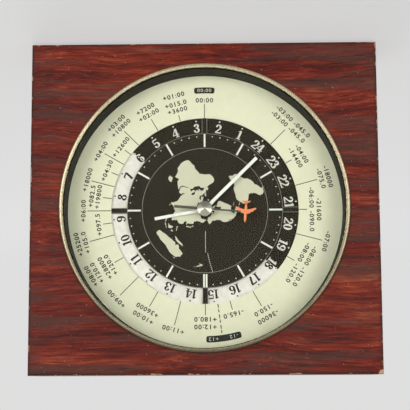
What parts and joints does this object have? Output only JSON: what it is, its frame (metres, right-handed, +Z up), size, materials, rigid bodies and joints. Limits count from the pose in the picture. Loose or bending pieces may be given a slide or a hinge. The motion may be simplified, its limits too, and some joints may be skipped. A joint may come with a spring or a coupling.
{
  "type": "world time clock",
  "caption": "Wooden desk clock with a deep round dial, a turning day-and-night hour disc, white hands, an aeroplane on the second hand, and a battery movement.",
  "frame": {"origin": "centre of the clock's box at the height of the foot pads' undersides", "axes": "+Z up, dial faces -Y, +X to the right as seen from the front"},
  "size_m": [0.165, 0.0556, 0.1592],
  "materials": {
    "veneer": "dark red mahogany veneer, satin lacquer",
    "bare_wood": "bare softwood",
    "felt": "black felt",
    "black_plastic": "matt moulded plastic",
    "cover_plastic": "grained moulded plastic",
    "knob_plastic": "fluted moulded plastic",
    "champagne": "brushed, aged champagne metal",
    "crystal": "clear flat glass",
    "dial_print": "printed cream enamel with a near-black centre",
    "baton_white": "white lacquer",
    "disc_print": "printed card, white half and black half",
    "hand_white": "white lacquered sheet",
    "arm_dark": "dark bronze lacquer",
    "orange": "orange lacquer",
    "polished": "polished",
    "brass": "turned and cut brass",
    "white_plastic": "acetal",
    "grey_plastic": "moulded plastic",
    "screw_steel": "zinc plated",
    "spring_steel": "bright spring steel",
    "ferrite": "ground magnet",
    "soft_iron": "stamped soft iron",
    "bobbin_green": "moulded nylon",
    "copper": "enamelled copper wire",
    "board_green": "solder mask",
    "lead_red": "insulated wire",
    "resin": "black potting resin",
    "cell_jacket": "printed cell jacket, plain"
  },
  "bodies": {
    "root": {"case_front": "veneer", "case_top": "veneer", "case_bottom": "veneer", "case_left": "veneer", "case_right": "veneer", "corner_blocks": "bare_wood", "feet": "felt", "rear_cover": "cover_plastic", "rear_screws": "screw_steel", "bezel": "champagne", "crystal": "crystal", "wall_ring": "black_plastic", "dial": "dial_print", "hour_markers": "baton_white", "dial_carrier": "black_plastic", "carrier_screws": "screw_steel", "movement_case": "grey_plastic", "middle_plate": "white_plastic", "movement_back": "grey_plastic", "movement_screws": "screw_steel", "centre_bush": "brass", "stator": "soft_iron", "coil_core": "soft_iron", "coil_bobbin": "bobbin_green", "coil_winding": "copper", "circuit_board": "board_green", "timing_chip": "resin", "quartz_can": "screw_steel", "battery_tray": "grey_plastic", "battery": "cell_jacket", "contact_plus": "spring_steel", "contact_minus": "spring_steel", "battery_leads": "lead_red"},
    "second_hand": {"second_wheel": "brass", "second_hand": "arm_dark", "aeroplane": "orange", "hub_cap": "polished"},
    "third_wheel": {"third_wheel": "brass"},
    "centre_wheel": {"centre_wheel": "brass"},
    "fifth_wheel": {"fifth_wheel": "white_plastic"},
    "rotor": {"rotor": "white_plastic", "rotor_magnet": "ferrite"},
    "minute_hand": {"minute_pinion": "brass", "minute_hand": "hand_white", "clutch_washer": "spring_steel"},
    "minute_wheel": {"minute_wheel": "white_plastic"},
    "hour_hand": {"hour_wheel": "white_plastic", "hour_hand": "hand_white"},
    "day_idler": {"day_idler": "white_plastic"},
    "day_disc": {"day_wheel": "white_plastic", "day_disc": "disc_print"},
    "setting_knob": {"setting_stem": "brass", "setting_knob": "knob_plastic"},
    "battery_door": {"battery_door": "cover_plastic"}
  },
  "joints": [
    {"name": "second_turn", "type": "hinge", "parent": "root", "child": "second_hand", "pos_m": [0, -0.0062, 0.0802], "axis": [0, 1, 0], "continuous": true},
    {"name": "third_turn", "type": "hinge", "parent": "root", "child": "third_wheel", "pos_m": [-0.01128, 0.0038, 0.0761], "axis": [0, 1, 0], "continuous": true},
    {"name": "centre_turn", "type": "hinge", "parent": "root", "child": "centre_wheel", "pos_m": [0, 0.0028, 0.0802], "axis": [0, 1, 0], "continuous": true},
    {"name": "fifth_turn", "type": "hinge", "parent": "root", "child": "fifth_wheel", "pos_m": [0.01128, 0.0068, 0.0843], "axis": [0, 1, 0], "continuous": true},
    {"name": "rotor_turn", "type": "hinge", "parent": "root", "child": "rotor", "pos_m": [0.01996, 0.0048, 0.08114], "axis": [0, 1, 0], "continuous": true},
    {"name": "minute_turn", "type": "hinge", "parent": "root", "child": "minute_hand", "pos_m": [0, -0.0062, 0.0802], "axis": [0, 1, 0], "continuous": true},
    {"name": "minute_wheel_turn", "type": "hinge", "parent": "root", "child": "minute_wheel", "pos_m": [-0.00208, -0.0012, 0.09202], "axis": [0, 1, 0], "continuous": true},
    {"name": "hour_turn", "type": "hinge", "parent": "root", "child": "hour_hand", "pos_m": [0, -0.0062, 0.0802], "axis": [0, 1, 0], "continuous": true},
    {"name": "idler_turn", "type": "hinge", "parent": "root", "child": "day_idler", "pos_m": [0.00919, -0.0062, 0.08791], "axis": [0, 1, 0], "continuous": true},
    {"name": "day_turn", "type": "hinge", "parent": "root", "child": "day_disc", "pos_m": [0, -0.0082, 0.0802], "axis": [0, 1, 0], "continuous": true},
    {"name": "knob_turn", "type": "hinge", "parent": "root", "child": "setting_knob", "pos_m": [-0.00808, 0.0138, 0.10241], "axis": [0, 1, 0], "continuous": true},
    {"name": "door_swing", "type": "hinge", "parent": "root", "child": "battery_door", "pos_m": [0, 0.02055, 0.03885], "axis": [-1, 0, 0], "range_deg": [0, 95]}
  ],
  "couplings": [
    {"joint": "third_turn", "follows": "second_turn", "ratio": -0.13333},
    {"joint": "centre_turn", "follows": "second_turn", "ratio": 0.016667},
    {"joint": "fifth_turn", "follows": "second_turn", "ratio": -5},
    {"joint": "rotor_turn", "follows": "second_turn", "ratio": 30},
    {"joint": "minute_wheel_turn", "follows": "minute_turn", "ratio": -0.33333},
    {"joint": "hour_turn", "follows": "minute_turn", "ratio": 0.083333},
    {"joint": "idler_turn", "follows": "minute_turn", "ratio": -0.041667},
    {"joint": "day_turn", "follows": "minute_turn", "ratio": 0.041667},
    {"joint": "knob_turn", "follows": "minute_turn", "ratio": 1}
  ]
}
